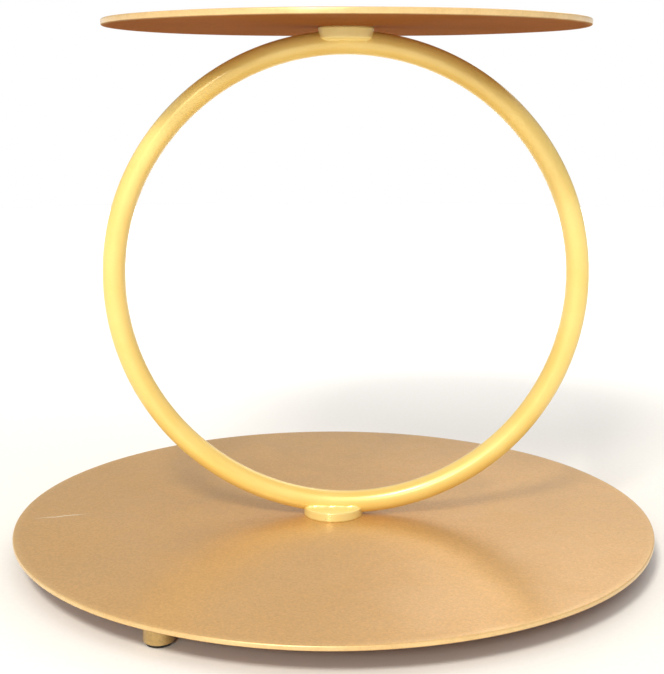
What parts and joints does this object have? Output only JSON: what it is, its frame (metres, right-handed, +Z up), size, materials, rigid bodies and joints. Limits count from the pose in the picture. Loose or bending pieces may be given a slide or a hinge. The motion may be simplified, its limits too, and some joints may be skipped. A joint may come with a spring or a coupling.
{
  "type": "tiered cake stand",
  "caption": "Cake stand with a large round lower plate and a smaller upper plate held apart by an upright ring of round bar, on short stub feet.",
  "frame": {"origin": "centre of the lower plate, on the surface that the foot pads stand on", "axes": "+Z up; the support ring stands in the XZ plane; -Y is the front; +X is the side that the ring and the upper plate are shifted to"},
  "size_m": [0.266, 0.266, 0.216],
  "materials": {
    "gold_lacquer": "satin metallic lacquer over mild steel",
    "zinc_plated_steel": "bright zinc plating",
    "brass_plated_steel": "satin plating",
    "black_rubber": "matt moulded rubber"
  },
  "bodies": {
    "root": {"lower_plate": "gold_lacquer", "upper_plate": "gold_lacquer", "support_ring": "gold_lacquer", "lower_boss": "gold_lacquer", "upper_boss": "gold_lacquer", "lower_screw": "zinc_plated_steel", "spring_washer": "zinc_plated_steel", "flat_washer": "zinc_plated_steel", "upper_screw": "brass_plated_steel", "right_foot": "gold_lacquer", "rear_foot": "gold_lacquer", "front_foot": "gold_lacquer", "right_foot_pad": "black_rubber", "rear_foot_pad": "black_rubber", "front_foot_pad": "black_rubber"}
  },
  "joints": []
}
